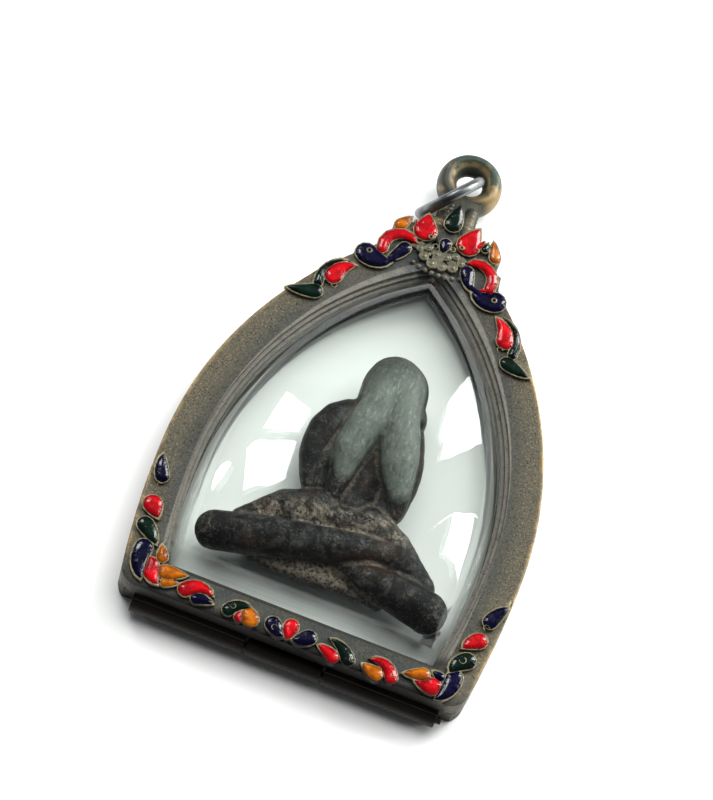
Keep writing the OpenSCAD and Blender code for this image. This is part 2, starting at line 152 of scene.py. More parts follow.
class Finish:  # one material and the nodes in it
    def __init__(self, name):
        self.material = bpy.data.materials.new(name)
        self.material.use_nodes = True
        self.tree = self.material.node_tree
        self.tree.nodes.clear()
        self.output = self.tree.nodes.new("ShaderNodeOutputMaterial")
        spot = self.add("ShaderNodeTexCoord", out="Object")
        self.place = self.add("ShaderNodeVectorMath", {"operation": "SCALE"}, {0: spot, "Scale": 1 / mm})
        axes = self.node("ShaderNodeSeparateXYZ", {}, {0: self.place})
        self.x, self.y, self.z = (Sum(self, axes.outputs[i]) for i in range(3))

    def node(self, kind, settings, values):
        made = self.tree.nodes.new(kind)
        for key, value in settings.items():
            setattr(made, key, value)
        for key, value in values.items():
            if isinstance(value, Sum):
                self.tree.links.new(value.socket, made.inputs[key])
            elif hasattr(value, "__len__") and len(value) == 3 and made.inputs[key].type == "RGBA":
                made.inputs[key].default_value = (*value, 1.0)
            else:
                made.inputs[key].default_value = value
        return made

    def add(self, kind, settings=None, values=None, out=0):
        return Sum(self, self.node(kind, settings or {}, values or {}).outputs[out])

    def noise(self, scale, detail=3.0, rough=0.5, bend=0.0, place=None):
        return self.add("ShaderNodeTexNoise", {}, {"Vector": place or self.place, "Scale": scale,
                        "Detail": detail, "Roughness": rough, "Distortion": bend})

    def cells(self, scale):  # how far a point is from the nearest of many scattered ones
        return self.add("ShaderNodeTexVoronoi", {}, {"Vector": self.place, "Scale": scale}, out="Distance")

    def stretch(self, scale, turn=(0.0, 0.0, 0.0)):
        return self.add("ShaderNodeMapping", {}, {"Vector": self.place, "Scale": scale, "Rotation": turn})

    def stored(self, name):  # a value that the mesh carries at its points
        return self.add("ShaderNodeAttribute", {"attribute_name": name}, out="Fac")

    def mix(self, share, first, second):  # colours
        return self.add("ShaderNodeMix", {"data_type": "RGBA"}, {0: share, 6: first, 7: second}, out=2)

    def bump(self, height, strength, depth):  # depth in mm
        values = {"Height": height, "Strength": strength, "Distance": depth * mm}
        return self.add("ShaderNodeBump", {}, values)

    def surface(self, **values):
        named = {key.replace("_", " "): value for key, value in values.items()}
        return self.add("ShaderNodeBsdfPrincipled", {}, named)

    def blendShaders(self, share, first, second):
        return self.add("ShaderNodeMixShader", {}, {0: share, 1: first, 2: second})

    def done(self, shader):
        self.tree.links.new(shader.socket, self.output.inputs["Surface"])
        return self.material

    def edgeDistance(self):  # how far a point lies inside the case's outline, in mm
        height = self.y + (midY - widestY)
        radius = caseLower + (caseUpper - caseLower) * height.rise(-0.01, 0.01)
        across = abs(self.x) + radius - caseHalf
        return radius - (across * across + height * height).root()


# finishes
# bright paints a highlight on the eye's flared mouth, and gold also paints one on the eye's lower right
brassLook = {
    "olive": (0.120, 0.106, 0.077), "grey": (0.072, 0.074, 0.067), "warm": (0.150, 0.122, 0.078),
    "dark": (0.022, 0.018, 0.014), "gold": (0.40, 0.275, 0.125), "wall": (0.281, 0.238, 0.140),
    "wallDull": (0.125, 0.108, 0.066), "black": (0.012, 0.010, 0.009), "blue": (0.040, 0.046, 0.050),
    "silver": (0.062, 0.063, 0.054), "green": (0.055, 0.085, 0.070), "bezel": (0.21, 0.195, 0.165),
    "bright": (0.40, 0.29, 0.14), "scallop": (0.115, 0.110, 0.080), "barrel": (0.022, 0.018, 0.015),
    "fleck": (0.26, 0.21, 0.12), "rubbed": (0.10, 0.065, 0.04)}


def antiqueBrass():
    look = brassLook
    f = Finish("antiqueBrass")
    edge = f.edgeDistance()
    height = f.y + midY
    cloud = f.noise(0.16, 3.0, 0.55, 0.3)
    fine = f.noise(2.4, 5.0, 0.65)
    grain = f.noise(9.0, 3.0, 0.6)
    pits = f.cells(2.4).fall(0.12, 0.30) * f.noise(0.5, 3.0).rise(0.40, 0.58)
    dots = f.cells(5.0).fall(0.16, 0.36) * f.noise(0.4, 3.0).rise(0.36, 0.56)
    # olive at the outer edge and greyer inwards, with dark and light flecks
    inner = edge.rise(1.6, 4.4)
    base = f.mix(inner * 0.7 + cloud.rise(0.35, 0.65) * 0.3, look["olive"], look["grey"])
    base = f.mix(fine.rise(0.50, 0.72) * (1.0 - inner) * 0.6, base, look["warm"])
    base = f.mix(f.noise(3.0, 4.0, 0.7, 0.4).rise(0.50, 0.62) * 0.55, base, look["dark"])
    base = f.mix(f.noise(3.6, 3.0, 0.6).rise(0.54, 0.66) * (0.9 - inner * 0.6), base, look["fleck"])
    # worn gold along the outer edge, rubbed off in places
    eye = height.rise(70.0, 72.5)
    wear = edge.fall(0.0, 0.8) * f.noise(0.5, 4.0, 0.7).rise(0.34, 0.64)
    wear = wear * height.rise(0.5, 3.0) * (1.0 - eye)
    base = f.mix(wear * 0.8, base, look["gold"])
    # the bezel is paler along the sides and dark near the foot
    bezel = edge.rise(bezelInset, bezelInset + 0.2) * height.fall(61.5, 63.0) * height.rise(4.3, 4.6)
    base = f.mix(bezel * 0.7, base, look["bezel"])
    base = f.mix(bezel * height.fall(5.6, 7.5) * 0.85, base, look["dark"])
    base = f.mix(f.noise(1.1, 4.0, 0.7).rise(0.50, 0.66) * bezel * 0.3, base, look["dark"])
    # bluish grime on the ground between the cells, on the crest and along the foot
    crest = height.rise(57.0, 60.5) * (1.0 - eye)
    ground = (crest + height.fall(3.0, 5.5) * 0.7).least(1.0) * f.z.fall(faceZ + 0.03, faceZ + 0.25)
    base = f.mix(ground * f.noise(0.45, 3.0).rise(0.26, 0.56) * 0.85, base, look["blue"])
    # the neck and the eye are rubbed smooth: a green bloom on the eye's far side, and on its near side gold
    # that is rubbed gilt brightened into a painted highlight
    base = f.mix(eye * f.noise(0.35, 4.0, 0.6).rise(0.30, 0.60), base, look["silver"])
    bell = height.rise(73.0, 74.5)
    bloom = (f.noise(0.28, 3.0, 0.6) + (f.y + f.x * 0.4 - 38.0) * 0.045).rise(0.46, 0.66)
    base = f.mix(bell * bloom * 0.8, base, look["green"])
    # painted highlight: gold on the eye's lower right, over rubbed gilt
    giltAndHighlight = (f.noise(0.30, 3.0, 0.6, 0.6) + (f.x - f.y + 37.0) * 0.03).rise(0.50, 0.68)
    base = f.mix(height.rise(74.5, 76.0) * giltAndHighlight * 0.8, base, look["gold"])
    # painted highlight: a bright gold ring round the eye's flared mouth
    up = f.y + (midY - eyeY)
    flare = (f.x * f.x + up * up).root().span(2.55, 3.05, 0.2) * f.z.rise(4.6, 5.0) * bell
    base = f.mix(flare * f.noise(0.7, 3.0).rise(0.30, 0.55), base, look["bright"])
    # the tops of the cell walls are bare metal, dull in places and on the scallops
    walls = f.z.rise(wallZ - 0.28, wallZ - 0.04) * (1.0 - eye)
    rosette = height.span(60.0, 65.2, 0.3) * abs(f.x).fall(3.6, 4.1)
    bare = f.noise(1.4, 3.0).rise(0.32, 0.58) * (1.0 - rosette * 0.75)
    base = f.mix(walls, base, f.mix(bare, look["wallDull"], look["wall"]))
    base = f.mix(rosette * walls * 0.7, base, look["scallop"])
    grime = (pits + dots * 0.75).least(1.0) * (1.0 - walls) * (1.0 - bell * 0.6)
    base = f.mix(grime * 0.85, base, look["dark"])
    # the foot, the hinge and the underside have gone nearly black
    footGrime = height.fall(0.1, 1.0) * (abs(f.x).fall(19.0, 24.0) * 0.9 + 0.1)
    underside = f.z.fall(0.4, 3.0) * (1.0 - edge.rise(3.0, 4.4) * height.rise(3.6, 4.4)) * 0.75
    blackened = height.fall(-0.30, 0.30).most(underside).most(footGrime)
    base = f.mix(blackened * 0.95, base, f.mix(height.fall(-1.2, -0.4), look["black"], look["barrel"]))
    polish = wear * 0.08 + walls * 0.10 + eye * 0.04
    rough = 0.46 + fine * 0.12 + grime * 0.2 - polish
    relief = fine * 0.3 + grain * 0.2 - grime * 0.7
    return f.done(f.surface(Base_Color=base, Metallic=0.72 - bezel * 0.3, Roughness=rough,
                            Normal=f.bump(relief, 0.45, 0.05)))


def blackPatina():
    f = Finish("blackPatina")
    fine = f.noise(1.4, 5.0, 0.6)
    rub = f.noise(0.6, 4.0, 0.7).rise(0.52, 0.75)
    base = f.mix(rub * 0.7, brassLook["black"], brassLook["rubbed"])
    return f.done(f.surface(Base_Color=base, Metallic=0.8, Roughness=0.34 + fine * 0.2,
                            Normal=f.bump(fine, 0.35, 0.05)))


enamelLooks = {  # node: deep colour, bright colour, specks
    "enamel_red": ((0.20, 0.0006, 0.003), (0.50, 0.0012, 0.006), (0.60, 0.12, 0.12)),
    "enamel_blue": ((0.0004, 0.0002, 0.007), (0.001, 0.0005, 0.016), (0.05, 0.05, 0.14)),
    "enamel_green": ((0.0004, 0.003, 0.002), (0.001, 0.009, 0.005), (0.06, 0.12, 0.09)),
    "enamel_orange": ((0.18, 0.034, 0.001), (0.48, 0.130, 0.004), (0.70, 0.45, 0.20))}


def enamel(name, nodeName):
    deep, bright, speckShade = enamelLooks[nodeName]
    f = Finish(name)
    pool = f.noise(0.55, 3.0, 0.5, 0.3)
    base = f.mix(pool.rise(0.3, 0.7), deep, bright)
    base = f.mix(f.stored("rimShare") * 0.55, base, tuple(c * 0.35 for c in deep))
    grains = f.cells(4.0).fall(0.08, 0.2) * f.noise(0.8, 2.0).rise(0.52, 0.62)
    base = f.mix(grains * 0.6, base, speckShade)
    waves = f.noise(1.3, 2.0, 0.5)
    return f.done(f.surface(Base_Color=base, Roughness=0.16 + pool * 0.08 + grains * 0.2,
                            Coat_Weight=0.5, Coat_Roughness=0.04, Specular_IOR_Level=0.15,
                            Normal=f.bump(waves + grains * -0.15, 0.6, 0.22)))


acrylicLook = {"tint": (0.965, 0.975, 0.968), "gloss": (0.92, 0.94, 0.93)}


def clearAcrylic(name, mirror, mostMirror):
    f = Finish(name)
    clear = f.add("ShaderNodeBsdfTransparent", {}, {"Color": acrylicLook["tint"]})
    longLines = f.noise(1.0, 2.0, 0.5, place=f.stretch((0.25, 6.0, 1.0), (0.0, 0.0, 0.7)))
    crossLines = f.noise(1.0, 2.0, 0.5, place=f.stretch((5.0, 0.2, 1.0), (0.0, 0.0, 0.3)))
    scratches = longLines.rise(0.70, 0.74) + crossLines.rise(0.71, 0.75)
    haze = f.noise(0.25, 3.0).rise(0.45, 0.8) * 0.012
    facing = f.add("ShaderNodeLayerWeight", {}, {"Blend": 0.5}, out="Facing")
    shine = mirror + (1.0 - mirror) * facing ** 5.0  # the same from inside the wall as from outside
    gloss = f.surface(Base_Color=acrylicLook["gloss"], Metallic=1.0, Roughness=0.012 + scratches * 0.08)
    share = (shine + haze + scratches * 0.02) * (1.0 - f.stored("inside") * 0.85)
    return f.done(f.blendShaders(share.least(mostMirror), clear, gloss))


# two of these colours paint light and shade: a pale grey-green sheen on the figure's tops, and a near black
# painted shade
stoneLook = {
    "char": (0.004, 0.004, 0.004), "grey": (0.036, 0.036, 0.035), "brown": (0.024, 0.013, 0.008),
    "sheen": (0.125, 0.145, 0.128), "paintedShade": (0.003, 0.003, 0.003), "pale": (0.21, 0.23, 0.21),
    "dust": (0.27, 0.225, 0.175), "chip": (0.34, 0.32, 0.28)}


def darkStone():
    look = stoneLook
    f = Finish("darkStone")
    height = f.y + midY
    grain = f.noise(2.0, 6.0, 0.7)
    cloud = f.noise(0.55, 5.0, 0.7, 0.8)
    strokes = f.noise(1.0, 4.0, 0.65, place=f.stretch((0.6, 1.7, 1.0), (0.0, 0.0, -0.25)))
    patches = f.noise(0.70, 5.0, 0.75).rise(0.40, 0.62)
    base = f.mix(cloud.rise(0.44, 0.66), look["char"], look["grey"])
    base = f.mix(f.noise(0.22, 3.0).rise(0.50, 0.66) * 0.7, base, look["brown"])
    # painted sheen: the tops of the forearms, hands and head are painted pale grey-green as if lit, and the
    # outer sides and left upper arm are darkened with painted shade
    paintedSheen = height.rise(22.5, 25.0) * f.z.rise(8.5, 9.8) * f.x.rise(-5.8, -4.2)
    paintedSheen = paintedSheen * ((height - f.x * 0.3).fall(39.5, 44.0) * 0.6 + 0.4)
    veins = f.noise(1.0, 4.0, 0.6, place=f.stretch((1.6, 0.35, 1.0), (0.0, 0.0, 0.1)))
    base = f.mix(paintedSheen * (veins.rise(0.22, 0.58) * 0.5 + 0.42), base, look["sheen"])
    # pale streaks inside the painted sheen
    scuffs = f.noise(1.8, 4.0, 0.7, place=f.stretch((1.4, 0.5, 1.0), (0.0, 0.0, 0.1)))
    base = f.mix(paintedSheen * scuffs.rise(0.52, 0.68) * 0.8, base, look["pale"])
    # painted shade darkens the figure's outer sides and its left upper arm
    paintedShade = abs(f.x).rise(10.5, 15.0) + height.rise(24.0, 27.0) * f.x.fall(-6.6, -4.8)
    base = f.mix(paintedShade.least(1.0) * 0.85, base, look["paintedShade"])
    # dust in the creases, across the lap and on the heel, and painted shade beneath the legs
    hollow = f.stored("hollow")
    lap = (height - f.x * 0.16).span(18.0, 21.4, 0.8) * f.z.rise(5.0, 6.5)
    heel = (height + abs(f.x - 1.0) * 0.05).span(10.6, 13.4, 0.5) * f.z.rise(4.2, 4.9)
    heel = heel * abs(f.x).fall(8.0, 11.0) * f.z.fall(6.0, 7.0)
    # painted shade under the shins
    shadeUnderLegs = f.z.fall(6.0, 7.5) * height.fall(15.0, 18.0) * (1.0 - heel)
    base = f.mix(shadeUnderLegs * 0.8, base, look["paintedShade"])
    creases = hollow.rise(0.10, 0.75) * (1.0 - shadeUnderLegs) * (1.0 - paintedSheen)
    dust = (creases * 0.4 + lap * patches * 0.9 + heel * 0.9).least(1.0) * strokes.rise(0.24, 0.50)
    base = f.mix(dust * grain.rise(0.36, 0.58) * 0.8, base, look["dust"])
    # chipped ridges and pale specks
    ridge = f.stored("ridge")
    base = f.mix(ridge.rise(0.25, 0.9) * grain.rise(0.45, 0.65) * 0.35, base, look["chip"])
    specks = f.cells(4.0).fall(0.06, 0.22) * f.noise(0.9, 3.0).rise(0.42, 0.54)
    base = f.mix(specks * (1.0 - paintedSheen * 0.7) * 0.75, base, look["chip"])
    relief = grain * 0.7 + f.noise(14.0, 3.0, 0.6) * 0.15 + strokes * 0.6
    return f.done(f.surface(Base_Color=base, Roughness=0.28 + grain * 0.28 + dust * 0.3,
                            Specular_IOR_Level=0.18, Normal=f.bump(relief, 0.9, 0.16)))


wireLook = {"bright": (0.22, 0.23, 0.23), "dull": (0.10, 0.10, 0.10)}


def steelWire():
    f = Finish("steelWire")
    fine = f.noise(3.0, 4.0, 0.6)
    drawn = f.noise(1.0, 3.0, 0.6, place=f.stretch((0.4, 0.4, 9.0)))
    base = f.mix(f.noise(0.4, 3.0).rise(0.45, 0.7), wireLook["bright"], wireLook["dull"])
    return f.done(f.surface(Base_Color=base, Metallic=1.0, Roughness=0.30 + fine * 0.12 + drawn * 0.06,
                            Normal=f.bump(fine * 0.5 + drawn * 0.5, 0.25, 0.03)))


# mesh helpers
mergeGap = 0.000002
seamGap = 0.000001


def newPiece(name, bm, material=None, smoothAngle=None):  # uses bm up
    mesh = bpy.data.meshes.new(name)
    bm.to_mesh(mesh)
    bm.free()
    piece = bpy.data.objects.new(name, mesh)
    scene.collection.objects.link(piece)
    if material is not None:
        mesh.materials.append(material)
    mesh.shade_smooth()
    if smoothAngle is not None:
        mesh.set_sharp_from_angle(angle=math.radians(smoothAngle))
    return piece


def mergedCopy(nodeName):
    bm = bmesh.new()
    bm.from_mesh(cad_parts[nodeName].data)
    bmesh.ops.remove_doubles(bm, verts=bm.verts, dist=mergeGap)
    return bm


def joinFlats(bm):  # joins the triangles of each flat face
    bmesh.ops.dissolve_limit(bm, angle_limit=math.radians(0.5), verts=bm.verts, edges=bm.edges)


def spinRound(bm, centre, steps):  # turns the section in bm once round an upright axis
    bmesh.ops.spin(bm, geom=bm.verts[:] + bm.edges[:], cent=centre, axis=(0.0, 0.0, 1.0), angle=math.tau,
                   steps=steps, use_merge=True, use_duplicate=False)
    bmesh.ops.remove_doubles(bm, verts=bm.verts, dist=seamGap)
    bmesh.ops.recalc_face_normals(bm, faces=bm.faces)


def smoothOut(bm, rounds):
    for _ in range(rounds):
        bmesh.ops.smooth_vert(bm, verts=bm.verts, factor=0.5,
                              use_axis_x=True, use_axis_y=True, use_axis_z=True)


def evenMesh(piece, grid, rounds=0):  # remeshed into one skin on a grid in mm, then smoothed
    remesh = piece.modifiers.new("even", "REMESH")
    remesh.mode = "VOXEL"
    remesh.voxel_size = grid * mm
    graph = bpy.context.evaluated_depsgraph_get()
    mesh = bpy.data.meshes.new_from_object(piece.evaluated_get(graph), depsgraph=graph)
    old = piece.data
    piece.modifiers.clear()
    piece.data = mesh
    bpy.data.meshes.remove(old)
    if rounds:
        bm = bmesh.new()
        bm.from_mesh(mesh)
        smoothOut(bm, rounds)
        bm.to_mesh(mesh)
        bm.free()
    return mesh


def dress(mesh, material):
    mesh.materials.clear()
    mesh.materials.append(material)
    mesh.shade_smooth()


# metal halves of the case; the face's outer edge gets rimRound, from rimFrom upwards
caseLook = {"edgeRound": 0.06, "rimRound": 0.32, "backRound": 0.12, "segments": 3,
            "smoothAngle": 32.0, "softFrom": 35.0, "rimFrom": 2.0, "rimReach": 0.05}


def edgeInset(x, y):  # how far a place on the face lies inside the case's outline, in mm
    radius = caseUpper if y > widestY else caseLower
    return radius - math.hypot(abs(x) + radius - caseHalf, y - widestY)


def onRim(vert):  # whether it lies on the face's outer edge, above the foot
    spot = vert.co / mm
    height = spot.y + midY
    if abs(spot.z - faceZ) >= 0.01 or height <= caseLook["rimFrom"]:
        return False
    return edgeInset(spot.x, height) < caseLook["rimReach"]


def softenEdges(piece, width, rimWidth):  # rounds sharp edges by width, and the face's rim by rimWidth
    bm = bmesh.new()
    bm.from_mesh(piece.data)
    weight = bm.edges.layers.float.new("bevel_weight_edge")
    for edge in bm.edges:
        if edge.calc_face_angle(0.0) >= math.radians(caseLook["softFrom"]):
            edge[weight] = 1.0 if all(onRim(v) for v in edge.verts) else width / rimWidth
    bm.to_mesh(piece.data)
    bm.free()
    bevel = piece.modifiers.new("softEdges", "BEVEL")
    bevel.width = rimWidth * mm
    bevel.segments = caseLook["segments"]
    bevel.limit_method = "WEIGHT"
    bevel.use_clamp_overlap = False
    bevel.profile = 0.5
    bevel.harden_normals = True


def makeFrames():
    look = caseLook
    brass = antiqueBrass()
    front = newPiece("frontCase", mergedCopy("front_frame"), brass, look["smoothAngle"])
    softenEdges(front, look["edgeRound"], look["rimRound"])
    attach(front, "front")
    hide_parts("front_frame")
    bm = mergedCopy("back_frame")
    joinFlats(bm)
    back = newPiece("backCase", bm, brass, look["smoothAngle"])
    softenEdges(back, look["backRound"], look["backRound"])
    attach(back, "back")
    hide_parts("back_frame")
    return brass


brass = makeFrames()
print("case halves made")

# enamel; the pools dome up by rise within reach of their rims, spill by overflow and stand lift higher
poolLook = {"grid": 0.09, "rise": 0.30, "reach": 0.8, "rimWidth": 0.35, "overflow": 0.16, "lift": 0.09,
            "rimStep": 0.05}


def poolRims(bm, top):  # places along the top edges of the pools, to be searched by distance
    step = poolLook["rimStep"] * mm
    spots = []
    for edge in bm.edges:
        a, b = (v.co for v in edge.verts)
        flats = [abs(face.normal.z) > 0.5 for face in edge.link_faces]
        onTop = min(a.z, b.z) > top - step
        if onTop and len(flats) == 2 and flats[0] != flats[1]:
            steps = max(1, int((a - b).length / step))
            spots += [a.lerp(b, i / steps) for i in range(steps + 1)]
    rims = kdtree.KDTree(len(spots))
    for i, spot in enumerate(spots):
        rims.insert((spot.x, spot.y, 0.0), i)
    rims.balance()
    return rims


def makeEnamel(nodeName, pieceName):
    look = poolLook
    low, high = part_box(nodeName)
    bm = mergedCopy(nodeName)
    rims = poolRims(bm, high.z)
    piece = newPiece(pieceName, bm)
    mesh = evenMesh(piece, look["grid"])
    rimShare = mesh.attributes.new("rimShare", "FLOAT", "POINT")
    tall = high.z - low.z
    outwards = [Vector((v.normal.x, v.normal.y, 0.0)) for v in mesh.vertices]
    for v, out in zip(mesh.vertices, outwards):
        away = rims.find((v.co.x, v.co.y, 0.0))[2] / mm
        share = min(away / look["reach"], 1.0)
        dome = look["rise"] * mm * math.sqrt(1.0 - (1.0 - share) ** 2)
        v.co.z = low.z + (v.co.z - low.z) * (tall + dome + look["lift"] * mm) / tall
        v.co += out * look["overflow"] * mm
        rimShare.data[v.index].value = max(0.0, 1.0 - away / look["rimWidth"])
    dress(mesh, enamel(pieceName, nodeName))
    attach(piece, "front")
    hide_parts(nodeName)


for nodeName in enamelLooks:
    makeEnamel(nodeName, nodeName.split("_")[1] + "Enamel")
print("enamel poured")

# eye and jump ring
eyeLook = {"z": 4.5, "hole": 1.86, "outer": 4.76, "half": 2.24, "steps": 96,
           "section": (  # its upper half: shares of the way out, and of half its height
               (0.0, 0.0), (0.03, 0.30), (0.15, 0.56), (0.30, 0.74), (0.42, 0.92), (0.50, 0.985),
               (0.57, 1.0), (0.66, 0.985), (0.79, 0.89), (0.89, 0.72), (0.96, 0.46), (1.0, 0.18),
               (1.0, 0.0))}


def makeEye():
    look = eyeLook
    centre = facePoint(0.0, eyeY, look["z"])
    width = look["outer"] - look["hole"]
    upper = [(look["hole"] + u * width, w * look["half"]) for u, w in look["section"]]
    lower = [(r, -h) for r, h in reversed(upper[1:-1])]
    bm = bmesh.new()
    verts = [bm.verts.new(centre + Vector((r, 0.0, h)) * mm) for r, h in upper + lower]
    for i, v in enumerate(verts):
        bm.edges.new((v, verts[(i + 1) % len(verts)]))
    spinRound(bm, centre, look["steps"])
    piece = newPiece("bellEye", bm, brass)
    sub = piece.modifiers.new("round", "SUBSURF")
    sub.levels = sub.render_levels = 1
    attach(piece, "front")


# overlap is how far the ring's wire lies beyond the eye's axis
ringLook = {"wire": 0.78, "radius": 4.8, "turn": -127.0, "lean": 20.5, "side": 0.4, "floorGap": 0.08,
            "overlap": 0.9, "corners": 24, "steps": 128}


def makeRing():
    look = ringLook
    radius = look["radius"]
    height = radius * math.cos(math.radians(look["lean"])) + look["wire"] + look["floorGap"]
    bm = bmesh.new()
    made = bmesh.ops.create_circle(bm, cap_ends=False, segments=look["corners"], radius=look["wire"] * mm)
    upright = Matrix.Rotation(math.radians(90.0), 4, "X")
    bmesh.ops.transform(bm, matrix=Matrix.Translation((radius * mm, 0, 0)) @ upright, verts=made["verts"])
    spinRound(bm, (0, 0, 0), look["steps"])
    place = (Matrix.Translation(facePoint(0.0, eyeY, height))
             @ Matrix.Rotation(math.radians(look["turn"]), 4, "Z")
             @ Matrix.Translation(Vector((radius - look["overlap"], look["side"], 0.0)) * mm)
             @ Matrix.Rotation(math.radians(90.0 - look["lean"]), 4, "X"))
    bmesh.ops.transform(bm, matrix=place, verts=bm.verts)
    piece = newPiece("jumpRing", bm, steelWire())
    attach(piece, "ring")
    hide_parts("jump_ring")


makeEye()
makeRing()
print("eye and ring made")

# hinge pin
pinLook = {"radius": 0.5, "half": 22.0, "end": 0.8, "y": -0.7, "z": 2.975, "endRound": 0.14, "corners": 32,
           "smoothAngle": 30.0}


def makePin():
    look = pinLook
    bm = bmesh.new()
    bmesh.ops.create_cone(bm, cap_ends=True, segments=look["corners"], radius1=look["radius"] * mm,
                          radius2=look["radius"] * mm, depth=(2 * look["half"] + look["end"]) * mm)
    ends = [e for e in bm.edges if abs(e.verts[0].co.z - e.verts[1].co.z) < 1e-7]
    bmesh.ops.bevel(bm, geom=ends, offset=look["endRound"] * mm, segments=3, affect="EDGES", profile=0.5,
                    material=-1)
    turn = Matrix.Rotation(math.radians(90.0), 4, "Y")
    at = facePoint(look["end"] / 2, look["y"], look["z"])
    bmesh.ops.transform(bm, matrix=Matrix.Translation(at) @ turn, verts=bm.verts)
    piece = newPiece("hingePin", bm, blackPatina(), look["smoothAngle"])
    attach(piece, "front")
    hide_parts("hinge_pin")


makePin()
print("hinge pin made")

# clear capsule; sideCurve and riseCurve bend the dome's profile, and flange is how far its flange stands out
domeLook = {"half": 20.55, "point": 60.8, "foot": 5.55, "lowerRadius": 121.3, "middleY": 28.0,
            "footZ": 4.37, "topZ": 15.25, "flangeZ": 3.17, "wall": 1.1, "flange": 1.83,
            "sideCurve": 0.62, "riseCurve": 0.8, "sideSteps": 44, "footSteps": 16,
            "angles": (0, 2, 5, 9, 14, 20, 27, 34, 42, 50, 58, 66, 73, 79, 84, 87, 89, 89.8),
            "mirror": 0.045, "mostMirror": 0.5, "smoothAngle": 50.0}
capsuleUpper = arcRadius(domeLook["point"] - widestY, domeLook["half"])


def capsuleHalf(y, grow):  # half width of the capsule's outline at a height, moved outwards by grow
    half = domeLook["half"] + grow
    radius = (capsuleUpper if y > widestY else domeLook["lowerRadius"]) + grow
    return math.sqrt(max(0.0, radius ** 2 - (y - widestY) ** 2)) - (radius - half)


def capsulePoint(grow):  # height of the outline's point, moved outwards by grow
    radius = capsuleUpper + grow
    return widestY + math.sqrt(radius ** 2 - (radius - domeLook["half"] - grow) ** 2)


def capsuleRing(grow):  # points round the outline, from the left foot corner over the point and back
    look = domeLook
    steps = look["sideSteps"]
    low = look["foot"] - grow
    tall = capsulePoint(grow) - low
    heights = [low + tall * math.sin(math.pi / 2 * i / steps) for i in range(steps + 1)]
    right = [(capsuleHalf(y, grow), y) for y in reversed(heights[:-1])]
    left = [(-capsuleHalf(y, grow), y) for y in heights]
    footHalf = capsuleHalf(low, grow)
    bottom = [(footHalf * (1 - 2 * i / look["footSteps"]), low) for i in range(1, look["footSteps"])]
    return left + right + bottom


def extrudeRing(bm, ring, spots):  # extrudes a ring of edges on to new places
    made = bmesh.ops.extrude_edge_only(bm, edges=ring)["geom"]
    edges = [e for e in made if isinstance(e, bmesh.types.BMEdge)]
    verts = [v for v in made if isinstance(v, bmesh.types.BMVert)]
    for v in verts:
        v.co = spots[v[bm.verts.layers.int["order"]]]
    return edges


def domeLevel(ring, tall, angle):  # the ring drawn in and lifted, as far as the angle along the dome
    look = domeLook
    share = math.cos(math.radians(angle)) ** look["sideCurve"]
    z = look["footZ"] + tall * math.sin(math.radians(angle)) ** look["riseCurve"]
    return [facePoint(x * share, look["middleY"] + (y - look["middleY"]) * share, z) for x, y in ring]


def makeDome():
    look = domeLook
    outer = capsuleRing(0.0)
    inner = capsuleRing(-look["wall"])
    flange = capsuleRing(look["flange"])
    tall = look["topZ"] - look["footZ"]
    rises = [domeLevel(outer, tall, a) for a in reversed(look["angles"])]
    turns = [[facePoint(x, y, look[z]) for x, y in flange] for z in ("footZ", "flangeZ")]
    turns.append([facePoint(x, y, look["flangeZ"]) for x, y in inner])
    innerTall = look["topZ"] - look["wall"] - look["footZ"]
    stations = rises + turns + [domeLevel(inner, innerTall, a) for a in look["angles"]]
    bm = bmesh.new()
    order = bm.verts.layers.int.new("order")
    bmesh.ops.create_circle(bm, cap_ends=False, segments=len(outer), radius=mm)
    bm.verts.ensure_lookup_table()
    for i, v in enumerate(bm.verts):
        v[order] = i
        v.co = stations[0][i]
    ring = bm.edges[:]
    ends = [ring]
    for spots in stations[1:]:
        ring = extrudeRing(bm, ring, spots)
    ends.append(ring)
    for end in ends:
        bmesh.ops.contextual_create(bm, geom=end)
    bmesh.ops.recalc_face_normals(bm, faces=bm.faces)
    bm.verts.ensure_lookup_table()
    inside = bm.verts.layers.float.new("inside")
    for v in bm.verts[len(outer) * (len(rises) + 2):]:
        v[inside] = 1.0
    acrylic = clearAcrylic("domeAcrylic", look["mirror"], look["mostMirror"])
    piece = newPiece("clearDome", bm, acrylic, look["smoothAngle"])
    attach(piece, "front")
    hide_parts("dome")


windowLook = {"bedZ": 2.0, "topZ": 3.9, "mirror": 0.04, "mostMirror": 0.2, "smoothAngle": 30.0}


def makeWindow():  # cast round the figure, so the bed in it is closed up to the plate's top
    look = windowLook
    bm = mergedCopy("back_window")
    for v in bm.verts:
        if look["bedZ"] - 0.1 < v.co.z / mm < look["bedZ"] + 0.1:
            v.co.z = look["topZ"] * mm
    bmesh.ops.remove_doubles(bm, verts=bm.verts, dist=mergeGap)
    joinFlats(bm)
    acrylic = clearAcrylic("windowAcrylic", look["mirror"], look["mostMirror"])
    piece = newPiece("backWindow", bm, acrylic, look["smoothAngle"])
    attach(piece, "back")
    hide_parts("back_window")


makeDome()
makeWindow()
print("capsule made")

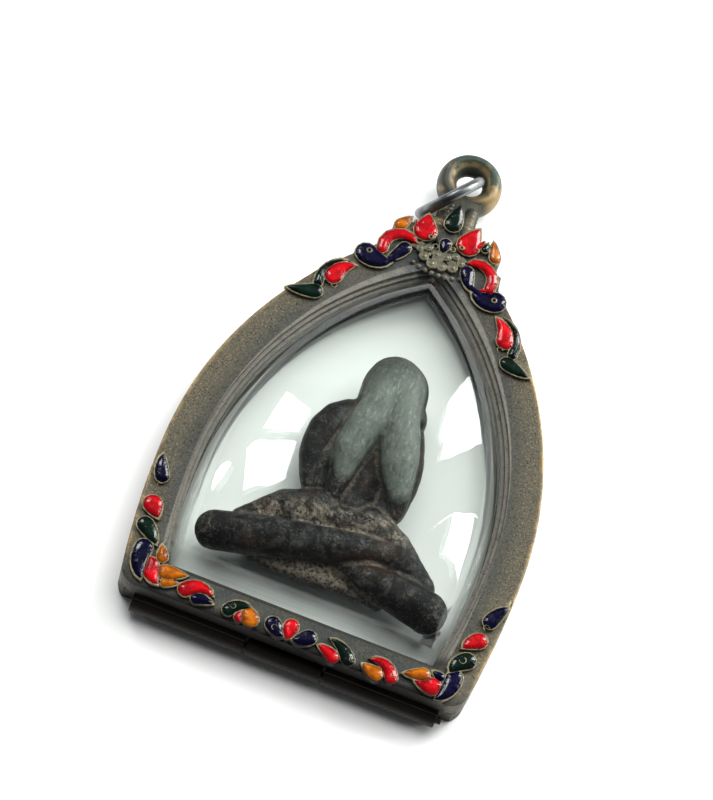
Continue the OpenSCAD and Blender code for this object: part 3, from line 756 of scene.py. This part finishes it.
# figure; in the core, places are well inside the capsule
figureLook = {"grid": 0.27, "rounds": 3, "lump": 0.10, "lumpSize": 2.2, "pit": 0.035, "pitSize": 0.7,
              "floor": 2.16, "clear": 0.022, "creaseRounds": 14, "creaseDepth": 0.12, "ridgeHeight": 0.10,
              "coreHalf": 19.0, "coreUp": 31.0, "coreDown": 21.0, "coreMargin": 0.15}
limbs = {  # chains of balls in mm: x, height along the face, height above the floor, radius
    "shinLeft": ((-15.2, 12.4, 5.8, 2.8), (-10.5, 13.5, 6.4, 2.95), (-5.0, 14.7, 6.9, 2.8),
                 (0.5, 15.9, 7.2, 2.5), (5.0, 17.1, 6.9, 2.1), (9.0, 18.3, 6.2, 1.7)),
    "shinRight": ((15.7, 12.2, 5.8, 3.0), (11.0, 13.0, 6.2, 2.75), (6.6, 13.6, 6.0, 2.3),
                  (2.8, 14.0, 5.4, 1.5)),
    "heel": ((-9.0, 11.9, 3.9, 1.1), (-2.0, 12.0, 4.2, 1.5), (3.5, 12.2, 4.2, 1.3), (9.0, 11.6, 3.9, 1.0)),
    "base": ((-14.0, 12.6, 3.6, 1.4), (0.0, 14.8, 4.0, 2.4), (7.0, 15.2, 4.2, 2.4), (14.0, 13.6, 3.8, 1.6)),
    "thighLeft": ((-12.4, 16.0, 4.5, 1.7), (-7.6, 19.9, 5.0, 2.4), (-3.5, 21.0, 5.4, 2.8)),
    "thighRight": ((13.6, 15.4, 5.1, 2.3), (8.4, 19.6, 5.5, 2.6), (4.5, 21.2, 5.6, 2.9)),
    "lap": ((-5.5, 19.2, 5.9, 1.7), (0.0, 20.4, 6.2, 1.9), (6.0, 21.0, 6.1, 1.8)),
    "trunk": ((0.8, 24.0, 4.2, 3.6), (0.8, 30.0, 4.4, 4.0), (0.5, 36.0, 5.6, 4.4)),
    "shoulders": ((-3.2, 35.0, 6.2, 2.6), (3.6, 38.2, 6.8, 3.1)),
    "head": ((1.1, 38.0, 6.9, 4.9), (0.85, 41.3, 6.9, 4.85), (0.5, 42.4, 6.7, 4.2)),
    "armLeft": ((-3.9, 35.6, 6.3, 2.5), (-5.2, 34.3, 6.4, 2.6), (-6.0, 32.4, 6.5, 2.65),
                (-6.3, 30.3, 6.4, 2.55), (-6.2, 28.2, 6.3, 2.4), (-5.7, 26.2, 6.1, 2.15),
                (-5.2, 24.6, 5.8, 1.9)),
    "armRight": ((4.6, 35.6, 6.4, 2.6), (5.2, 34.0, 6.5, 2.6), (5.8, 32.0, 6.6, 2.6), (6.15, 30.0, 6.6, 2.55),
                 (6.3, 28.0, 6.5, 2.4), (6.3, 26.0, 6.3, 2.25), (6.2, 24.6, 6.0, 2.1)),
    "elbowLeft": ((-6.0, 25.6, 6.9, 1.3), (-3.8, 28.6, 8.0, 1.1), (-2.6, 31.2, 8.8, 1.3)),
    "foreLeft": ((-1.6, 23.4, 7.2, 0.8), (-1.8, 26.4, 8.3, 1.6), (-2.0, 30.0, 9.1, 2.4),
                 (-1.2, 34.0, 9.7, 2.6), (-0.2, 38.0, 9.7, 2.4)),
    "foreRight": ((6.9, 24.2, 7.0, 1.3), (6.4, 26.4, 8.1, 1.8), (5.7, 28.2, 8.6, 2.3), (4.9, 30.5, 9.1, 2.7),
                  (3.9, 34.0, 9.5, 2.8), (2.6, 38.0, 9.7, 2.5)),
    "handLeft": ((-0.2, 38.0, 9.7, 2.4), (0.4, 41.4, 9.3, 2.2)),
    "handRight": ((2.6, 38.0, 9.7, 2.5), (2.0, 41.8, 9.2, 2.4))}
ballSteps = 6  # balls from one place of a chain to the next


def capsuleShare(x, y):  # how far out a place lies in the capsule's inner outline, 1 at its edge
    look = domeLook
    low = 0.05
    high = 1.6
    for _ in range(16):
        share = (low + high) / 2
        outX = abs(x) / share
        outY = look["middleY"] + (y - look["middleY"]) / share
        inside = (look["foot"] + look["wall"] <= outY <= capsulePoint(-look["wall"])
                  and outX <= capsuleHalf(outY, -look["wall"]))
        low, high = (low, share) if inside else (share, high)
    return high


def wallShare(z):  # how far out the capsule's inner wall lies at a height above the floor
    look = domeLook
    rise = (z - look["footZ"]) / (look["topZ"] - look["wall"] - look["footZ"])
    if rise <= 0.0:
        return 1.0
    return math.cos(math.asin(min(rise, 1.0) ** (1 / look["riseCurve"]))) ** look["sideCurve"]


def addLimb(whole, balls):  # fills the way from each place of a chain to the next with balls
    for first, second in zip(balls, balls[1:]):
        part = bmesh.new()
        for i in range(ballSteps):
            x, y, z, radius = (p + (q - p) * i / (ballSteps - 1) for p, q in zip(first, second))
            bmesh.ops.create_icosphere(part, subdivisions=3, radius=radius * mm,
                                       matrix=Matrix.Translation(facePoint(x, y, z)))
        mesh = bpy.data.meshes.new("limb")
        part.to_mesh(mesh)
        part.free()
        whole.from_mesh(mesh)
        bpy.data.meshes.remove(mesh)


def carve(mesh):  # chisel lumps, pits, the flat underside and the clearance to the capsule
    look = figureLook
    middle = domeLook["middleY"]
    normals = [v.normal.copy() for v in mesh.vertices]
    for v, normal in zip(mesh.vertices, normals):
        p = v.co / mm
        lump = noise.noise(p / look["lumpSize"]) * look["lump"]
        pit = min(0.0, noise.noise(p / look["pitSize"])) * look["pit"]
        p += normal * (lump + pit)
        p.z = max(p.z, look["floor"])
        x = p.x
        y = p.y + midY
        limit = wallShare(p.z) - look["clear"]
        core = max(abs(x) / look["coreHalf"], (y - middle) / look["coreUp"], (middle - y) / look["coreDown"])
        if core > limit - look["coreMargin"]:  # the slow search only near the wall
            share = capsuleShare(x, y)
            if share > limit:
                p.x = x * limit / share
                p.y = middle + (y - middle) * limit / share - midY
        v.co = p * mm


def markHollows(mesh):  # stores how deep each place lies in a crease, and how far it stands out
    look = figureLook
    bm = bmesh.new()
    bm.from_mesh(mesh)
    bm.normal_update()
    before = [(v.co.copy(), v.normal.copy()) for v in bm.verts]
    smoothOut(bm, look["creaseRounds"])
    sunk = [(v.co - co).dot(normal) / mm for v, (co, normal) in zip(bm.verts, before)]
    bm.free()
    hollow = mesh.attributes.new("hollow", "FLOAT", "POINT")
    ridge = mesh.attributes.new("ridge", "FLOAT", "POINT")
    hollow.data.foreach_set("value", [max(0.0, min(1.0, s / look["creaseDepth"])) for s in sunk])
    ridge.data.foreach_set("value", [max(0.0, min(1.0, -s / look["ridgeHeight"])) for s in sunk])


def makeFigure():
    look = figureLook
    bm = bmesh.new()
    for balls in limbs.values():
        addLimb(bm, balls)
    piece = newPiece("stoneFigure", bm)
    mesh = evenMesh(piece, look["grid"], look["rounds"])
    carve(mesh)
    markHollows(mesh)
    dress(mesh, darkStone())
    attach(piece, "back")
    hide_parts("figure")


makeFigure()
print("figure made")

# crest trims: scallops, beads and curls of metal, and the enamel that runs from cell to cell
trimLook = {"grid": 0.07, "rounds": 2, "scallopWire": 0.2, "scallopShare": 0.85, "scallopTop": 8.1,
            "bead": 0.38, "beadZ": 7.35, "curlWire": 0.12, "arcZ": 8.16, "arcWire": 0.08, "arcCorners": 6,
            "arcShare": 0.65, "rim": 0.20, "rimTop": 7.85, "poolTop": 8.08}
scallops = (  # x, y, radius
    (-3.3, 63.9, 0.55), (-2.4, 62.9, 0.70), (-1.0, 62.2, 0.75), (0.5, 62.3, 0.75), (2.0, 62.7, 0.75),
    (2.9, 63.8, 0.55), (-2.2, 64.4, 0.55), (-0.8, 63.9, 0.62), (0.7, 64.0, 0.62), (1.9, 64.6, 0.55))
beads = tuple((i - 3.5, 61.0 + 0.05 * (i - 3.5) ** 2) for i in range(8))
curls = (  # x, y, z, radius
    (-2.42, 66.05, 8.18, 0.32), (2.23, 66.18, 8.18, 0.32), (-9.84, 60.44, 8.18, 0.36),
    (9.19, 60.05, 8.18, 0.36), (-1.35, 65.1, 7.75, 0.38), (1.15, 65.6, 7.75, 0.38))
arcs = (  # small curled wires in the cells: x, y, radius, start in degrees
    (24.0, 12.3, 0.42, 30), (22.5, 6.6, 0.48, 200), (8.6, 0.9, 0.42, 120), (-2.7, 1.2, 0.40, 40),
    (-24.3, 14.6, 0.36, 60), (14.5, 0.9, 0.38, 150), (-8.9, 1.9, 0.36, 200), (12.4, 53.0, 0.40, 0),
    (-12.6, 53.2, 0.40, 180))
rolls = (  # beside the neck, as chains of x, y, z, radius
    ((-1.8, 69.2, 6.1, 1.25), (-1.75, 72.8, 6.0, 1.2)), ((1.8, 69.2, 6.1, 1.25), (1.75, 72.8, 6.0, 1.2)))
pours = {  # name: (enamel, with its own rim, chains of x, y, radius)
    "redTongues": ("enamel_red", True, (((-4.2, 66.7, 0.50), (-4.8, 67.2, 0.32), (-5.2, 67.9, 0.12)),
                                        ((4.0, 67.0, 0.55), (4.5, 67.7, 0.38), (4.95, 68.6, 0.13)))),
    "blueBridges": ("enamel_blue", False, (((-8.4, 59.6, 0.55), (-7.3, 59.7, 0.48), (-6.5, 60.4, 0.42),
                                            (-5.9, 61.5, 0.50)),
                                           ((4.8, 61.3, 0.42), (5.7, 60.8, 0.40), (6.6, 60.5, 0.42),
                                            (7.4, 60.1, 0.50)))),
    "redSpill": ("enamel_red", False, (((6.8, 60.9, 0.16), (7.5, 61.2, 0.20)),))}


def roundChain(x, y, z, radius, wire, corners=9, start=0.0, share=1.0):  # a ring of balls, or an arc
    turns = [math.radians(start) + math.tau * share * i / corners for i in range(corners + 1)]
    return [(x + radius * math.cos(t), y + radius * math.sin(t), z, wire) for t in turns]


def makeTrim(name, chains, material, slot):
    bm = bmesh.new()
    for chain in chains:
        addLimb(bm, chain)
    piece = newPiece(name, bm)
    dress(evenMesh(piece, trimLook["grid"], trimLook["rounds"]), material)
    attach(piece, "front")


def makeTrims():
    look = trimLook
    metal = [roundChain(x, y, wallZ, radius * look["scallopShare"], look["scallopWire"])
             for x, y, radius in scallops]
    metal += [[(x, y, look["scallopTop"] - radius, radius)] * 2 for x, y, radius in scallops]
    metal += [[(x, y, look["beadZ"], look["bead"])] * 2 for x, y in beads]
    metal += [roundChain(x, y, z, radius, look["curlWire"]) for x, y, z, radius in curls]
    metal += [roundChain(x, y, look["arcZ"], radius, look["arcWire"], look["arcCorners"], start,
                         look["arcShare"]) for x, y, radius, start in arcs]
    metal += rolls
    for name, (nodeName, rimmed, chains) in pours.items():
        pools = [[(x, y, look["poolTop"] - radius, radius) for x, y, radius in chain] for chain in chains]
        makeTrim(name, pools, enamel(name, nodeName), nodeName.split("_")[1] + "_enamel")
        if rimmed:
            metal += [[(x, y, look["rimTop"] - radius - look["rim"], radius + look["rim"])
                       for x, y, radius in chain] for chain in chains]
    makeTrim("crestScrolls", metal, brass, "antique_brass")


makeTrims()
print("crest trims made")

# floor and light
studio = {"floorShade": (0.86, 0.86, 0.85), "floorHalf": 1.5, "world": (0.80, 0.83, 0.85),
          "worldStrength": 0.10, "distance": 0.6, "glow": (0.96, 1.0, 0.99),
          "lampPlace": (0.1, 0.3, 0.9), "lampSize": 0.9, "lampPower": 13.0}
windows = {  # what the dome mirrors: corners as (turn from +Y, height) in degrees, then radiance
    "windowRight": (((33, 9), (46.5, 9), (45, 30), (39.5, 46.5), (23.5, 62), (21.5, 59.5), (24.5, 52),
                     (29.5, 38), (32, 24)), 18.0),
    "windowRightLow": (((52, 54), (55, 48), (57.5, 41), (61, 28), (62.5, 12), (62.5, 1), (71.5, 1),
                        (70.5, 12), (68, 27), (64.5, 38.5)), 18.0),
    "windowLeft": (((-45.5, 37), (-39, 48.5), (-28.5, 57.5), (-32.5, 60), (-44.5, 53.5), (-55, 41)), 14.0),
    "windowLeftLow": (((-62, 35.5), (-59.5, 39), (-49, 52.5), (-32, 61.5), (-27.5, 64), (-28, 65.5),
                       (-45.5, 60.5), (-61, 48.5)), 18.0),
    "windowEdge": (((-68.5, 13.5), (-67, 25), (-69.5, 20.5), (-72, 12), (-71.5, 6), (-70, 4.5)), 15.0),
    "ceiling": (((-24, 42), (30, 42), (60, 78), (-60, 78)), 0.2)}


def makeFloor():
    bm = bmesh.new()
    bmesh.ops.create_grid(bm, x_segments=1, y_segments=1, size=studio["floorHalf"])
    f = Finish("paleFloor")
    tone = f.noise(0.02, 2.0)
    base = f.mix(tone, studio["floorShade"], tuple(c * 0.985 for c in studio["floorShade"]))
    floor = newPiece("paleFloor", bm, f.done(f.surface(Base_Color=base, Roughness=0.75)))


def aim(turn, height):  # direction from the case: turn from +Y towards +X and height, in degrees
    turn = math.radians(turn)
    height = math.radians(height)
    return Vector((math.sin(turn) * math.cos(height), math.cos(turn) * math.cos(height), math.sin(height)))


def makeWindowPanel(name, corners, radiance):
    bm = bmesh.new()
    for turn, height in corners:
        bm.verts.new(aim(turn, height) * studio["distance"])
    bmesh.ops.contextual_create(bm, geom=bm.verts[:])
    f = Finish(name)
    glow = f.add("ShaderNodeEmission", {}, {"Color": studio["glow"], "Strength": radiance})
    panel = newPiece(name, bm, f.done(glow))
    panel.visible_camera = False
    panel.visible_shadow = False


def makeSoftLight():
    data = bpy.data.lights.new("softOverhead", "AREA")
    data.size = studio["lampSize"]
    data.energy = studio["lampPower"]
    lamp = bpy.data.objects.new("softOverhead", data)
    scene.collection.objects.link(lamp)
    place = Vector(studio["lampPlace"])
    lamp.matrix_world = Matrix.Translation(place) @ place.to_track_quat("Z", "Y").to_matrix().to_4x4()
    lamp.visible_glossy = False
    lamp.visible_camera = False


def makeStudio():
    world = bpy.data.worlds.new("paleRoom")
    scene.world = world
    world.use_nodes = True
    backdrop = world.node_tree.nodes["Background"]
    backdrop.inputs["Color"].default_value = (*studio["world"], 1.0)
    backdrop.inputs["Strength"].default_value = studio["worldStrength"]
    for name, (corners, radiance) in windows.items():
        makeWindowPanel(name, corners, radiance)
    makeSoftLight()
    scene.view_settings.view_transform = "Standard"


makeFloor()
makeStudio()
print("floor and light made")
